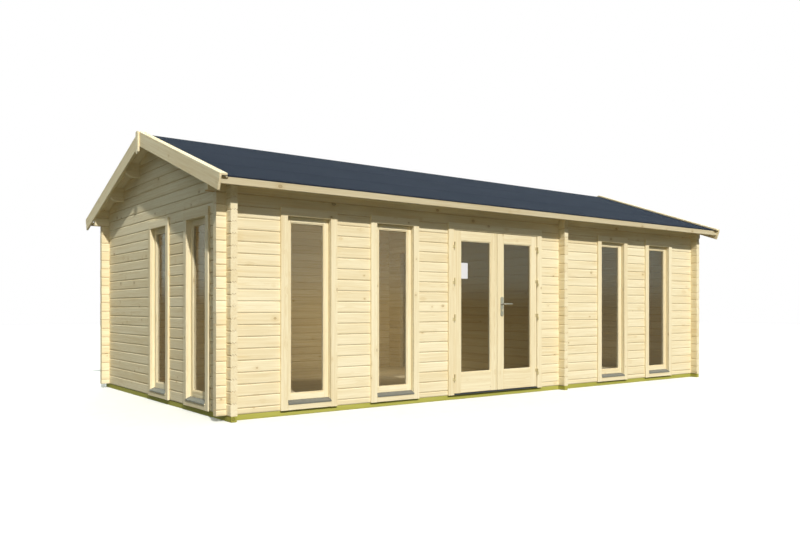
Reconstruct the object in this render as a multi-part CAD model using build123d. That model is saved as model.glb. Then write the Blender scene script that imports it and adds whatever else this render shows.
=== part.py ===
from build123d import *
import math
import os

os.makedirs("parts", exist_ok=True)

# A log cabin with two rooms under one saddle roof, in millimetres.
# X runs along the front, Y runs from the front to the back, Z is up.
# The origin is on the ground, under the middle of the cabin.

# Log walls, outer face to outer face
wall_length = 7780.0
wall_depth = 3850.0
log_thickness = 70.0
course = 114.0
groove_depth = 4.0
groove_height = 5.0
log_end = 100.0
opening_course_count = 17
partition_place_share = 0.6028
doorway_width = 800.0
doorway_place_share = 0.798
overrun = 40.0

# Ground beams and floor
beam_height = 55.0
beam_setback = 7.0
floor_thickness = 20.0
left_joist_count = 7
right_joist_count = 4
joist_width = 45.0

# Roof
roof_pitch = 19.38
eaves_course_share = 20.12
eaves_overhang = 280.0
gable_overhang = 205.0
deck_thickness = 19.0
felt_thickness = 4.0
fascia_thickness = 20.0
fascia_height = 75.0
fascia_notch_height = 30.0
fascia_notch_length = 80.0
bargeboard_thickness = 22.0
bargeboard_width = 135.0
cap_thickness = 22.0
cap_width = 80.0
verge_run_on = 42.0
apex_board_width = 80.0
apex_board_thickness = 22.0
apex_board_length = 265.0
apex_board_point = 30.0
purlin_width = 70.0
purlin_depth = 155.0
purlin_end_radius = 110.0
purlin_place_shares = (0.0, 0.327, 0.654)

# Windows, all alike
front_window_shares = (0.1152, 0.2543, 0.7412, 0.8805)
side_window_shares = (0.1852, 0.4756)
window_gap = 500.0
jamb_thickness = 40.0
sill_height = 37.0
casing_width = 77.5
casing_thickness = 22.0
casing_head = 85.0
sash_recess = 30.0
sash_stile = 54.0
sash_bottom_rail = 61.0
sash_top_rail = 55.0
glass_thickness = 6.0
flashing_overhang = 8.0
flashing_lip = 12.0
flashing_thickness = 2.0

# Double door
door_place_share = 0.4533
leaf_width = 691.0
leaf_thickness = 45.0
leaf_recess = 10.0
leaf_stile = 105.0
leaf_top_rail = 115.0
leaf_bottom_rail = 235.0
leaf_gap = 6.0
meeting_gap = 8.0
door_casing_width = 84.0
door_jamb = 45.0
stop_width = 20.0
threshold_height = 12.0

# Door hinges and lock
hinge_shares = (0.098, 0.465, 0.689, 0.909)
barrel_radius = 7.0
barrel_length = 38.0
barrel_side_count = 12
barrel_gap = 0.3
flap_length = 26.0
flap_thickness = 3.0
hinge_clearance = 5.0
plate_width = 46.0
plate_height = 235.0
plate_thickness = 8.0
plate_drop = 148.0
plate_chamfer = 10.0
lever_height = 1066.0
lever_length = 125.0
lever_width = 20.0
lever_thickness = 12.0
lever_standoff = 38.0
spindle_radius = 8.0
spindle_side_count = 16
spindle_clearance = 0.6

# Places worked out from the sizes above
half_length = wall_length / 2
half_depth = wall_depth / 2
base = beam_height
half_course = course / 2
front_face = -half_depth
left_face = -half_length
slope = math.tan(math.radians(roof_pitch))
cosine = math.cos(math.radians(roof_pitch))
sine = math.sin(math.radians(roof_pitch))
eaves_z = base + course * eaves_course_share
ridge_z = eaves_z + half_depth * slope
front_opening_base = base + half_course
opening_top = front_opening_base + opening_course_count * course
side_panel_base = base + course
side_panel_top = base + opening_course_count * course
plate_log_base = opening_top + course
verge = half_length + gable_overhang - bargeboard_thickness
eave_line = half_depth + eaves_overhang
partition_x = left_face + wall_length * partition_place_share
partition_left = partition_x - log_thickness / 2
partition_right = partition_x + log_thickness / 2
doorway_y = front_face + wall_depth * doorway_place_share
doorway_front = doorway_y - doorway_width / 2
doorway_back = doorway_y + doorway_width / 2
inner_front = front_face + log_thickness
inner_left = left_face + log_thickness
front_window_xs = [left_face + wall_length * share for share in front_window_shares]
side_window_ys = [front_face + wall_depth * share for share in side_window_shares]
half_window = window_gap / 2 + jamb_thickness
sash_bottom = front_opening_base + sill_height
head_thickness = casing_head - course / 5
sash_top = opening_top - head_thickness
door_x = left_face + wall_length * door_place_share
half_door_clear = leaf_width + meeting_gap / 2 + leaf_gap
half_door_opening = half_door_clear + door_jamb
leaf_front = front_face - casing_thickness + leaf_recess
leaf_back = leaf_front + leaf_thickness
leaf_base = base + threshold_height + leaf_gap
leaf_top = sash_top - leaf_gap
axis_y = front_face - casing_thickness - hinge_clearance - barrel_radius
axis_offset = leaf_width + (meeting_gap + leaf_gap) / 2
spindle_x = door_x + meeting_gap / 2 + leaf_stile * (1 / 2 + 1 / 5)


def block(x0, x1, y0, y1, z0, z1):
    """Upright box between two opposite corners."""
    centre = Pos((x0 + x1) / 2, (y0 + y1) / 2, (z0 + z1) / 2)
    return centre * Box(x1 - x0, y1 - y0, z1 - z0)


def prism(points, direction, length):
    """Straight solid with a closed outline of points as its end."""
    return extrude(make_face(Polyline(*points, close=True)), amount=length, dir=direction)


def roof_underside(y):
    """Height of the underside of the roof boards over a place."""
    return ridge_z - abs(y) * slope


def log_edge(z0, z1, seam):
    """Inset and height of the points up one face of a stack of logs."""
    points = []
    first = math.ceil((z0 - seam) / course - groove_height / course)
    last = math.floor((z1 - seam) / course + groove_height / course)
    seams = [seam + course * number for number in range(first, last + 1)]
    if not seams or seams[0] - z0 > groove_height:
        points.append((0, z0))
    for height in seams:
        if height - z0 > groove_height:
            points.append((0, height - groove_height))
        points.append((groove_depth, height))
        if z1 - height > groove_height:
            points.append((0, height + groove_height))
    if not seams or z1 - seams[-1] > groove_height:
        points.append((0, z1))
    return points


def logs_along_x(x0, x1, outer, inner, z0, z1):
    """Stack of front or back wall logs, grooved outside, the lowest one a half log."""
    inward = math.copysign(1, inner - outer)
    edge = log_edge(z0, z1, base - half_course)
    outline = [(x0, outer + inset * inward, z) for inset, z in edge]
    return prism(outline + [(x0, inner, z1), (x0, inner, z0)], (1, 0, 0), x1 - x0)


def logs_along_y(y0, y1, outer, inner, z0, z1):
    """Stack of side wall logs, grooved outside, the lowest one a whole log."""
    inward = math.copysign(1, inner - outer)
    edge = log_edge(z0, z1, base)
    outline = [(outer + inset * inward, y0, z) for inset, z in edge]
    return prism(outline + [(inner, y0, z1), (inner, y0, z0)], (0, 1, 0), y1 - y0)


def notches(x0, y0, z0, z1, phase):
    """Half height gaps, one a course, where another wall's logs pass through."""
    gaps = []
    number = 0
    while base + (number + phase - 1 / 4) * course < z1:
        low = base + (number + phase - 1 / 4) * course
        high = low + half_course
        if high > z0:
            gaps.append(block(x0, x0 + log_thickness, y0, y0 + log_thickness, low, high))
        number += 1
    return gaps


def front_notches(x0, y0, z0, z1):
    """Gaps in a front or back wall for the logs that cross it."""
    return notches(x0, y0, z0, z1, 1 / 2)


def side_notches(x0, y0, z0, z1):
    """Gaps in a side wall or the partition for the logs that cross it."""
    return notches(x0, y0, z0, z1, 0)


def save(shape, name):
    """Write one node, keeping only its solids."""
    solids = shape.solids() if not isinstance(shape, list) else [s for part in shape for s in part.solids()]
    body = solids[0] if len(solids) == 1 else Compound(children=solids)
    export_step(body, os.path.join("parts", name + ".step"))


def to_back(shape):
    """Copy of a front piece at the back."""
    return mirror(shape, about=Plane.XZ)


def both_ends(shape):
    """A left piece with its copy at the right."""
    return [shape, mirror(shape, about=Plane.YZ)]


# Space above the underside of the roof boards
far_y = eave_line + verge_run_on + overrun
far_z = ridge_z + overrun
roof_outline = [
    (-verge - overrun, -far_y, roof_underside(far_y)),
    (-verge - overrun, 0, ridge_z),
    (-verge - overrun, far_y, roof_underside(far_y)),
    (-verge - overrun, far_y, far_z),
    (-verge - overrun, -far_y, far_z),
]
roof_space = prism(roof_outline, (1, 0, 0), (verge + overrun) * 2)


# Purlins with rounded lower ends, bevelled to the roof
def purlin(y):
    """One purlin that runs from verge to verge."""
    top = roof_underside(y) + purlin_width / 2 * slope
    low = roof_underside(y) - purlin_depth
    beam = block(-verge, verge, y - purlin_width / 2, y + purlin_width / 2, low, top)
    ends = beam.edges().filter_by(Axis.Y).group_by(Axis.Z)[0]
    return fillet(ends, purlin_end_radius) - roof_space


purlin_ys = [share * half_depth for share in purlin_place_shares]
purlins = [purlin(y) for y in sorted({-y for y in purlin_ys} | set(purlin_ys))]
save(purlins, "purlins")

# Crossings of the walls, by their lower left corners
cross_xs = [left_face, partition_left, half_length - log_thickness]
cross_ys = [front_face, half_depth - log_thickness]


def front_stack(x0, x1, z0, z1, faces=(front_face, inner_front)):
    """Part of the front or back wall, notched where other walls cross it."""
    stack = logs_along_x(x0, x1, faces[0], faces[1], z0, z1)
    gaps = []
    for x in cross_xs:
        if x0 < x < x1:
            gaps += front_notches(x, min(faces), z0, z1)
    return stack - gaps if gaps else stack


def notched_side(stack, x0, y0, y1, z0, z1):
    """A stack along Y, notched where the long walls cross it."""
    gaps = []
    for y in cross_ys:
        if y0 < y < y1:
            gaps += side_notches(x0, y, z0, z1)
    return stack - gaps if gaps else stack


def side_stack(y0, y1, z0, z1, faces):
    """Part of a side wall."""
    stack = logs_along_y(y0, y1, faces[0], faces[1], z0, z1)
    return notched_side(stack, min(faces), y0, y1, z0, z1)


def partition_stack(y0, y1, z0, z1):
    """Part of the partition, plain on both faces."""
    stack = block(partition_left, partition_right, y0, y1, z0, z1)
    return notched_side(stack, partition_left, y0, y1, z0, z1)


# Front wall
door_left = door_x - half_door_opening
door_right = door_x + half_door_opening
logs_left = left_face - log_end
logs_right = half_length + log_end
sill_logs = [
    front_stack(logs_left, door_left, base, front_opening_base),
    front_stack(door_right, logs_right, base, front_opening_base),
]
save(sill_logs, "front_wall_sill_logs")

gap_edges = [(x - half_window, x + half_window) for x in front_window_xs]
gap_edges.insert(2, (door_left, door_right))
panel_starts = [logs_left] + [right for left, right in gap_edges]
panel_ends = [left for left, right in gap_edges] + [logs_right]
panel_names = (
    "front_wall_left_end",
    "front_wall_between_left_windows",
    "front_wall_left_of_door",
    "front_wall_right_of_door",
    "front_wall_between_right_windows",
    "front_wall_right_end",
)
for start, end, name in zip(panel_starts, panel_ends, panel_names):
    save(front_stack(start, end, front_opening_base, opening_top), name)


def upper_logs(faces, z0):
    """Logs over the openings, the topmost ones running out to the verges."""
    top = roof_underside(half_depth - log_thickness) + groove_height
    lower = front_stack(logs_left, logs_right, z0, plate_log_base, faces)
    plates = front_stack(-verge, verge, plate_log_base, top, faces)
    return lower + plates - roof_space


save(upper_logs((front_face, inner_front), opening_top), "front_wall_upper_logs")
save(upper_logs((-front_face, -inner_front), base), "back_wall")

# Left wall with two windows, and the plain right wall
logs_front = front_face - log_end
logs_back = half_depth + log_end
left_faces = (left_face, inner_left)
right_faces = (-left_face, -inner_left)
side_gaps = [(y - half_window, y + half_window) for y in side_window_ys]
side_openings = [
    block(left_face - overrun, inner_left + overrun, y0, y1, front_opening_base, opening_top)
    for y0, y1 in side_gaps
]
save(side_stack(logs_front, logs_back, base, side_panel_base, left_faces) - side_openings, "left_wall_bottom_log")
side_starts = [logs_front] + [y1 for y0, y1 in side_gaps]
side_ends = [y0 for y0, y1 in side_gaps] + [logs_back]
side_names = ("left_wall_front_end", "left_wall_between_windows", "left_wall_back_end")
for start, end, name in zip(side_starts, side_ends, side_names):
    save(side_stack(start, end, side_panel_base, side_panel_top, left_faces), name)
gable_cut = [roof_space] + purlins
left_gable = side_stack(logs_front, logs_back, side_panel_top, ridge_z, left_faces)
save(left_gable - gable_cut - side_openings, "left_gable")
right_wall = side_stack(logs_front, logs_back, base, ridge_z, right_faces)
save(right_wall - gable_cut, "right_wall")

# Partition between the rooms, with an open doorway near the back
save(partition_stack(logs_front, doorway_front, base, side_panel_top), "partition_front")
save(partition_stack(doorway_back, logs_back, base, side_panel_top), "partition_back")
partition_upper = partition_stack(logs_front, logs_back, side_panel_top, ridge_z)
save(partition_upper - gable_cut, "partition_upper_logs")

# Ground beams under the walls, and joists under the floor
beam_width = log_thickness - beam_setback * 2
cross_beams = [
    block(x + beam_setback, x + beam_setback + beam_width, logs_front, logs_back, 0, base)
    for x in cross_xs
]
joist_front = front_face + beam_setback + beam_width
for x0, x1, count in (
    (cross_xs[0] + log_thickness, cross_xs[1], left_joist_count),
    (cross_xs[1] + log_thickness, cross_xs[2], right_joist_count),
):
    for number in range(1, count + 1):
        middle = x0 + (x1 - x0) * number / (count + 1)
        half_joist = joist_width / 2
        cross_beams.append(block(middle - half_joist, middle + half_joist, joist_front, -joist_front, 0, base))
save(cross_beams[:len(cross_xs)], "side_ground_beams")
save(cross_beams[len(cross_xs):], "floor_joists")
for name, y0 in (("front_ground_beams", front_face), ("back_ground_beams", half_depth - log_thickness)):
    beams = []
    for x0, x1 in zip(cross_xs, cross_xs[1:]):
        start = x0 + beam_setback + beam_width
        beams.append(block(start, x1 + beam_setback, y0 + beam_setback, y0 + beam_setback + beam_width, 0, base))
    save(beams, name)
floor_top = base + floor_thickness
left_floor = block(inner_left, partition_left, inner_front, -inner_front, base, floor_top)
right_floor = block(partition_right, -inner_left, inner_front, -inner_front, base, floor_top)
doorway_floor = block(partition_left, partition_right, doorway_front, doorway_back, base, floor_top)
save(left_floor + doorway_floor + right_floor, "floor_boards")


# Roof boards, felt, fascias, bargeboards and verge caps
def layer(low, high, eave, x0, x1):
    """Slab on the front slope, between two depths above the roof boards' underside."""
    low_rise = low / cosine
    high_rise = high / cosine
    outline = [
        (x0, -eave, roof_underside(eave) + low_rise),
        (x0, 0, ridge_z + low_rise),
        (x0, 0, ridge_z + high_rise),
        (x0, -eave, roof_underside(eave) + high_rise),
    ]
    return prism(outline, (1, 0, 0), x1 - x0)


def verge_board(low, high, x0, x1):
    """Board along the front slope, square cut past the eave and plumb at the ridge."""
    tip_y = -eave_line - verge_run_on
    tip_z = roof_underside(tip_y) + high / cosine
    drop = high - low
    outline = [
        (x0, tip_y, tip_z),
        (x0, tip_y + drop * sine, tip_z - drop * cosine),
        (x0, 0, ridge_z + low / cosine),
        (x0, 0, ridge_z + high / cosine),
    ]
    return prism(outline, (1, 0, 0), x1 - x0)


felt_top = deck_thickness + felt_thickness
deck = layer(0, deck_thickness, eave_line - fascia_thickness, -verge, verge)
felt = layer(deck_thickness, felt_top, eave_line, -verge, verge)
fascia_top = roof_underside(eave_line) + deck_thickness / cosine
fascia_back = -eave_line + fascia_thickness
fascia = block(-verge, verge, -eave_line, fascia_back, fascia_top - fascia_height, fascia_top)
notch = block(
    -verge, -verge + fascia_notch_length, -eave_line, fascia_back, fascia_top - fascia_notch_height, fascia_top
)
fascia -= both_ends(notch)
bargeboards = both_ends(
    verge_board(felt_top - bargeboard_width, felt_top, -verge - bargeboard_thickness, -verge)
)
cap_edge = -verge - bargeboard_thickness
caps = both_ends(verge_board(felt_top, felt_top + cap_thickness, cap_edge, cap_edge + cap_width))
for name, pieces in (
    ("roof_boards", [deck]),
    ("roof_felt", [felt]),
    ("fascia", [fascia]),
    ("bargeboards", bargeboards),
    ("verge_caps", caps),
):
    save(pieces, "front_" + name)
    save([to_back(piece) for piece in pieces], "back_" + name)

# Pointed cover boards over the joint of the bargeboards
half_apex = apex_board_width / 2
apex_top = ridge_z + (felt_top + cap_thickness) / cosine
apex_shoulder = apex_top - half_apex * slope
apex_tip = apex_top - apex_board_length
apex_outline = [
    (cap_edge, 0, apex_top),
    (cap_edge, half_apex, apex_shoulder),
    (cap_edge, half_apex, apex_tip + apex_board_point),
    (cap_edge, 0, apex_tip),
    (cap_edge, -half_apex, apex_tip + apex_board_point),
    (cap_edge, -half_apex, apex_shoulder),
]
save(both_ends(prism(apex_outline, (-1, 0, 0), apex_board_thickness)), "apex_boards")


# Windows, drawn about the middle of the wall's outer face and then put in place
def ring(half_width, inner_half, y0, y1, z0, z1, inner_z0, inner_z1):
    """Rectangular frame that stands upright."""
    hole = block(-inner_half, inner_half, y0 - overrun, y1 + overrun, inner_z0, inner_z1)
    return block(-half_width, half_width, y0, y1, z0, z1) - hole


half_gap = window_gap / 2
casing_top = sash_top + casing_head
half_casing = half_gap + casing_width
casing = ring(
    half_casing, half_gap, -casing_thickness, 0, base, casing_top, front_opening_base, sash_top
)
flashing_edge = -casing_thickness - flashing_overhang
sill_edge = flashing_edge + flashing_thickness
lip_top = front_opening_base + flashing_lip
flashing_outline = [
    (-half_gap, sash_recess, sash_bottom),
    (-half_gap, flashing_edge, lip_top),
    (-half_gap, flashing_edge, front_opening_base),
    (-half_gap, sill_edge, front_opening_base),
    (-half_gap, sill_edge, lip_top - flashing_thickness),
    (-half_gap, sash_recess, sash_bottom - flashing_thickness),
]
flashing = prism(flashing_outline, (1, 0, 0), window_gap)
sill_outline = [
    (-half_gap, sash_recess, front_opening_base),
    (-half_gap, sash_recess, sash_bottom - flashing_thickness),
    (-half_gap, sill_edge, lip_top - flashing_thickness),
    (-half_gap, sill_edge, front_opening_base),
]
sill_nose = prism(sill_outline, (1, 0, 0), window_gap)
frame = ring(
    half_window, half_gap, 0, log_thickness, front_opening_base, opening_top, sash_bottom, sash_top
)
frame -= block(-half_gap, half_gap, 0, sash_recess, front_opening_base, sash_bottom)
frame += sill_nose
half_pane = half_gap - sash_stile
pane_bottom = sash_bottom + sash_bottom_rail
pane_top = sash_top - sash_top_rail
sash = ring(
    half_gap, half_pane, sash_recess, log_thickness, sash_bottom, sash_top, pane_bottom, pane_top
)
pane_y = (sash_recess + log_thickness - glass_thickness) / 2
pane = block(-half_pane, half_pane, pane_y, pane_y + glass_thickness, pane_bottom, pane_top)
places = [Location((x, front_face, 0)) for x in front_window_xs]
places += [Location((left_face, y, 0), (0, 0, -90)) for y in side_window_ys]
for name, piece in (
    ("window_casings", casing),
    ("window_flashings", flashing),
    ("window_frames", frame),
    ("window_sashes", sash),
    ("window_glass", pane),
):
    save([place * piece for place in places], name)


# Doorway lining of the double door
def lining(x0, x1, z0, z1):
    """Full depth part of the door frame."""
    return block(x0, x1, front_face, inner_front, z0, z1)


stop_front = leaf_back + hinge_clearance
clear_left = door_x - half_door_clear
clear_right = door_x + half_door_clear
posts = [
    lining(door_left, clear_left, base, opening_top)
    + block(clear_left, clear_left + stop_width, stop_front, inner_front, base, sash_top - stop_width),
    lining(clear_right, door_right, base, opening_top)
    + block(clear_right - stop_width, clear_right, stop_front, inner_front, base, sash_top - stop_width),
]
save(posts, "door_posts")
head = lining(clear_left, clear_right, sash_top, opening_top)
head += block(clear_left, clear_right, stop_front, inner_front, sash_top - stop_width, sash_top)
save(head, "door_head")
threshold = block(
    clear_left, clear_right, front_face - casing_thickness, inner_front, base, base + threshold_height
)
threshold -= [
    block(clear_left, clear_left + stop_width, stop_front, inner_front, base, opening_top),
    block(clear_right - stop_width, clear_right, stop_front, inner_front, base, opening_top),
]
save(threshold, "door_threshold")
casing_front = front_face - casing_thickness
half_door_casing = half_door_clear + door_casing_width
door_casing = block(
    door_x - half_door_casing, door_x + half_door_casing, casing_front, front_face, base, casing_top
)
door_casing -= block(
    clear_left, clear_right, casing_front - overrun, front_face + overrun, base - overrun, sash_top
)
save(door_casing, "door_casing")

# Door leaves, the left one drawn first
left_edge = clear_left + leaf_gap
leaf = block(left_edge, left_edge + leaf_width, leaf_front, leaf_back, leaf_base, leaf_top)
light = (
    left_edge + leaf_stile,
    left_edge + leaf_width - leaf_stile,
    leaf_base + leaf_bottom_rail,
    leaf_top - leaf_top_rail,
)
leaf -= block(light[0], light[1], leaf_front - overrun, leaf_back + overrun, light[2], light[3])
door_pane_y = (leaf_front + leaf_back - glass_thickness) / 2
door_pane = block(light[0], light[1], door_pane_y, door_pane_y + glass_thickness, light[2], light[3])
door_plane = Plane.YZ.offset(door_x)
save(leaf, "left_door_leaf")
save(door_pane, "left_door_glass")
save(mirror(door_pane, about=door_plane), "right_door_glass")

# Lift-off hinges: the lower knuckle on the casing, the upper one on the leaf
axis_x = door_x - axis_offset
hinge_zs = [leaf_base + (leaf_top - leaf_base) * share for share in hinge_shares]


def knuckle(z0):
    """One half of a hinge barrel."""
    section = Pos(axis_x, axis_y, z0) * RegularPolygon(barrel_radius, barrel_side_count)
    return extrude(section, amount=barrel_length, dir=(0, 0, 1))


frame_hinges = []
leaf_hinges = []
for z in hinge_zs:
    lower = z - barrel_length - barrel_gap
    frame_flap = block(
        clear_left - flap_length, clear_left, casing_front - flap_thickness, casing_front, lower, z - barrel_gap
    )
    frame_web = block(
        axis_x - barrel_radius, clear_left, axis_y, casing_front, lower, z - barrel_gap
    )
    frame_hinges.append(knuckle(lower) + frame_flap + frame_web)
    leaf_flap = block(
        left_edge, left_edge + flap_length, leaf_front - flap_thickness, leaf_front, z, z + barrel_length
    )
    leaf_web = block(left_edge, axis_x + barrel_radius, axis_y, leaf_front, z, z + barrel_length)
    leaf_hinges.append(knuckle(z) + leaf_flap + leaf_web)
save(frame_hinges + [mirror(hinge, about=door_plane) for hinge in frame_hinges], "door_frame_hinges")
save(leaf_hinges, "left_door_hinges")
save([mirror(hinge, about=door_plane) for hinge in leaf_hinges], "right_door_hinges")

# Lock of the right leaf: two plates, and two levers on one spindle
lever_z = base + lever_height


def bar_along_y(radius, y0, y1):
    """Many-sided bar through the lock, along Y."""
    section = Plane((spindle_x, y0, lever_z), x_dir=(1, 0, 0), z_dir=(0, 1, 0))
    return extrude(section * RegularPolygon(radius, spindle_side_count), amount=y1 - y0)


outer_grip = leaf_front - plate_thickness - lever_standoff
inner_grip = leaf_back + plate_thickness + lever_standoff
bore = bar_along_y(spindle_radius + spindle_clearance, outer_grip - overrun, inner_grip + overrun)
save(mirror(leaf, about=door_plane) - bore, "right_door_leaf")
plate_z = lever_z - plate_drop
plates = []
for y0 in (leaf_front - plate_thickness, leaf_back):
    plate = block(
        spindle_x - plate_width / 2,
        spindle_x + plate_width / 2,
        y0,
        y0 + plate_thickness,
        plate_z,
        plate_z + plate_height,
    )
    corners = plate.edges().filter_by(Axis.Y)
    plates.append(chamfer(corners, plate_chamfer) - bore)
save(plates, "right_door_lock_plates")
grip_plane = Plane((spindle_x + lever_length / 2, 0, lever_z), x_dir=(1, 0, 0), z_dir=(0, -1, 0))
grip_outline = grip_plane * SlotCenterToCenter(lever_length, lever_width)
lever = bar_along_y(spindle_radius, outer_grip, inner_grip)
for y0, reach in ((outer_grip, 1), (inner_grip, -1)):
    lever += Pos(0, y0, 0) * extrude(grip_outline, amount=lever_thickness * reach)
save(lever, "door_lever_handles")
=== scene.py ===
import math
import random

import bmesh
import bpy
import numpy as np
from mathutils import Matrix, Vector


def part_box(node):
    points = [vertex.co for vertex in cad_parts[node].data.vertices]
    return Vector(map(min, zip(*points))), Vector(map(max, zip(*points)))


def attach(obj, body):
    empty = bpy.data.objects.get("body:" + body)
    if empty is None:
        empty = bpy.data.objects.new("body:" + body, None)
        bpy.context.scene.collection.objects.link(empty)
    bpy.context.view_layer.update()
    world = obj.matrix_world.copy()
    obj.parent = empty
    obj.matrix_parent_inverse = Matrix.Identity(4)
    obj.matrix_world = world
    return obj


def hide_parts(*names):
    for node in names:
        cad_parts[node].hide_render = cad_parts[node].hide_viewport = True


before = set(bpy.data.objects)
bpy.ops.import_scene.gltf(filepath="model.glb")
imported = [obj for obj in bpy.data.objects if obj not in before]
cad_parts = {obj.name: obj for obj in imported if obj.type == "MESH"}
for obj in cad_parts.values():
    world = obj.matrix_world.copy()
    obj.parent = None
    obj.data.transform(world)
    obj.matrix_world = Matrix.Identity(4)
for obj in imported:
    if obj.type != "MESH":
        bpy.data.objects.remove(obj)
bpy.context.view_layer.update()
SEED = 7
random.seed(SEED)

# Sizes shared by the logs and boards, in metres
COURSE = 0.114
ROOF_PITCH = math.radians(19.38)
LOG_CHAMFER = (0.0045, 0.009)
LOG_GAP = 0.003
TONGUE_HEIGHT = 0.012
TONGUE_SHARES = (0.16, 0.26, 0.36, 0.46, 0.54, 0.64, 0.74, 0.84)
LOG_END_JITTER = 0.0015
BOARD_EDGE = 0.0025
DECK_THICKNESS = 0.019
FELT_TURN_DOWN = 0.009
FELT_LAP = 0.003
FELT_THICKNESS = 0.0008
FELT_SHEET_COUNT = 3
FELT_OVERLAP = 0.08
RIDGE_STRIP = 0.25
ROOF_BOARD_WIDTH = 0.088
FLOOR_BOARD_WIDTH = 0.095
BOARD_GAP = 0.0012
BEAM_EDGE = 0.003
HEART_REACH = (0.03, 0.10)
TRUNK_REACH = 50.0

# Tolerances for reading the frame's shapes
WELD = 0.00002
HAIR = 0.0001
NEAR = 0.001
PLACE_DIGITS = 4
GABLE_TOP_REACH = 0.2
LEVEL_SHARE = 0.9
FLAT_ANGLE = math.radians(0.5)
SHARP_ANGLE = math.radians(25)

# Windows, from their middle and from the wall's outer face
HALF_GAP = 0.250
HALF_CASING = 0.3275
HALF_OPENING = 0.290
HALF_PANE = 0.196
CASING_DEPTH = 0.022
SASH_RECESS = 0.030
SASH_GAP = 0.0025
SILL_GAP = 0.002
SILL_REACH = 0.028
SILL_NOSE_TOP = 0.122
BEAD_WIDTH = 0.010
BEAD_SETBACK = 0.005
PANE_THICKNESS = 0.006

# Door furniture. Sections and discs are half sizes, then depths
STEEL_EDGE = 0.002
HINGE_EDGE = 0.001
TUBE_SIDE_COUNT = 14
LEVER_SECTION = (0.006, 0.007)
LEVER_BEND = 0.016
LEVER_BEND_STEPS = 5
LEVER_TIP_SHARES = (0.35, 0.7, 0.93, 0.97, 0.99, 1.0)
LEVER_END_SHARES = (1.0, 0.9, 0.62, 0.2)
ROSETTE = (0.0125, 0.005)
ROSETTE_END_SHARE = 0.86
CYLINDER = (0.0085, 0.006)
CYLINDER_DROP = 0.072
CYLINDER_LEG_SHARE = 1.15
KEYHOLE = (0.0012, 0.0045, 0.0003)
SCREW = (0.0045, 0.0018)
SCREW_END_SHARE = 0.6
SCREW_INSET = 0.013
SPINDLE_RADIUS = 0.004
CARD_SIZE = (0.112, 0.185)
CARD_HEIGHT = 1.365
CARD_THICKNESS = 0.0012

# Places read from the frame
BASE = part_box("side_ground_beams")[1].z
FRONT, FRONT_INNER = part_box("front_wall_left_end")[0].y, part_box("front_wall_left_end")[1].y
BACK, BACK_INNER = -FRONT, -FRONT_INNER
LEFT, LEFT_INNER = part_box("left_gable")[0].x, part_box("left_gable")[1].x
RIGHT, RIGHT_INNER = -LEFT, -LEFT_INNER
PART_LEFT, PART_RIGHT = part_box("partition_front")[0].x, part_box("partition_front")[1].x
LOGS_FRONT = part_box("left_gable")[0].y
SLOPE = math.tan(ROOF_PITCH)
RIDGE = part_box("front_roof_boards")[1].z - DECK_THICKNESS / math.cos(ROOF_PITCH)
OPEN_BASE, OPEN_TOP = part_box("window_frames")[0].z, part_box("window_frames")[1].z


def roof_underside(y):
    """Height of the underside of the roof boards."""
    return RIDGE - abs(y) * SLOPE


# Node graphs for the materials. A Mix node keeps its colours in the sockets numbered here
MIX_INPUTS = (0, 6, 7)
MIX_OUTPUT = 2


class Graph:
    """The node tree of a material or the world, with short calls to add and link nodes."""

    def __init__(self, owner, shader="Principled BSDF"):
        self.owner = owner
        owner.use_nodes = True
        self.tree = owner.node_tree
        self.shader = self.tree.nodes[shader]

    def add(self, kind, inputs=None, **settings):
        node = self.tree.nodes.new("ShaderNode" + kind)
        for key, value in settings.items():
            setattr(node, key, value)
        for key, value in (inputs or {}).items():
            self.feed(node.inputs[key], value)
        return node

    def feed(self, socket, value):
        if isinstance(value, bpy.types.NodeSocket):
            self.tree.links.new(value, socket)
        else:
            socket.default_value = value

    def set(self, **inputs):
        for key, value in inputs.items():
            self.feed(self.shader.inputs[key.replace("_", " ")], value)

    def math(self, operation, a, b):
        return self.add("Math", {0: a, 1: b}, operation=operation).outputs[0]

    def weigh(self, *parts):
        """Sum of values, each less its middle and times its weight."""
        total = 0.0
        for value, middle, weight in parts:
            part = self.math("MULTIPLY", self.math("SUBTRACT", value, middle), weight)
            total = self.math("ADD", total, part)
        return total

    def noise(self, vector, scale, detail, roughness=0.55):
        inputs = {"Vector": vector, "Scale": scale, "Detail": detail, "Roughness": roughness}
        return self.add("TexNoise", inputs).outputs["Fac"]

    def vector(self, operation, a, b=(0.0, 0.0, 0.0)):
        return self.add("VectorMath", {0: a, 1: b}, operation=operation).outputs[0]

    def fade(self, value, full, none):
        """One at full, falling smoothly to zero at none."""
        limits = {"Value": value, "From Min": full, "From Max": none, "To Min": 1.0, "To Max": 0.0}
        return self.add("MapRange", limits, interpolation_type="SMOOTHSTEP").outputs["Result"]

    def stretch(self, vector, scale):
        return self.add("Mapping", {"Vector": vector, "Scale": scale}).outputs["Vector"]

    def ramp(self, value, *stops):
        """Colours between two stops, each a place and a colour."""
        node = self.add("ValToRGB", {"Fac": value})
        for element, (place, colour) in zip(node.color_ramp.elements, stops):
            element.position = place
            element.color = (*colour, 1.0)
        return node.outputs["Color"]

    def mix(self, factor, a, b):
        node = self.add("Mix", data_type="RGBA")
        for index, value in zip(MIX_INPUTS, (factor, a, b)):
            self.feed(node.inputs[index], (*value, 1.0) if isinstance(value, tuple) else value)
        return node.outputs[MIX_OUTPUT]

    def bump(self, height, strength, distance):
        inputs = {"Height": height, "Strength": strength, "Distance": distance}
        return self.add("Bump", inputs).outputs["Normal"]

    def object_coordinates(self):
        return self.add("TexCoord").outputs["Object"]


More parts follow.
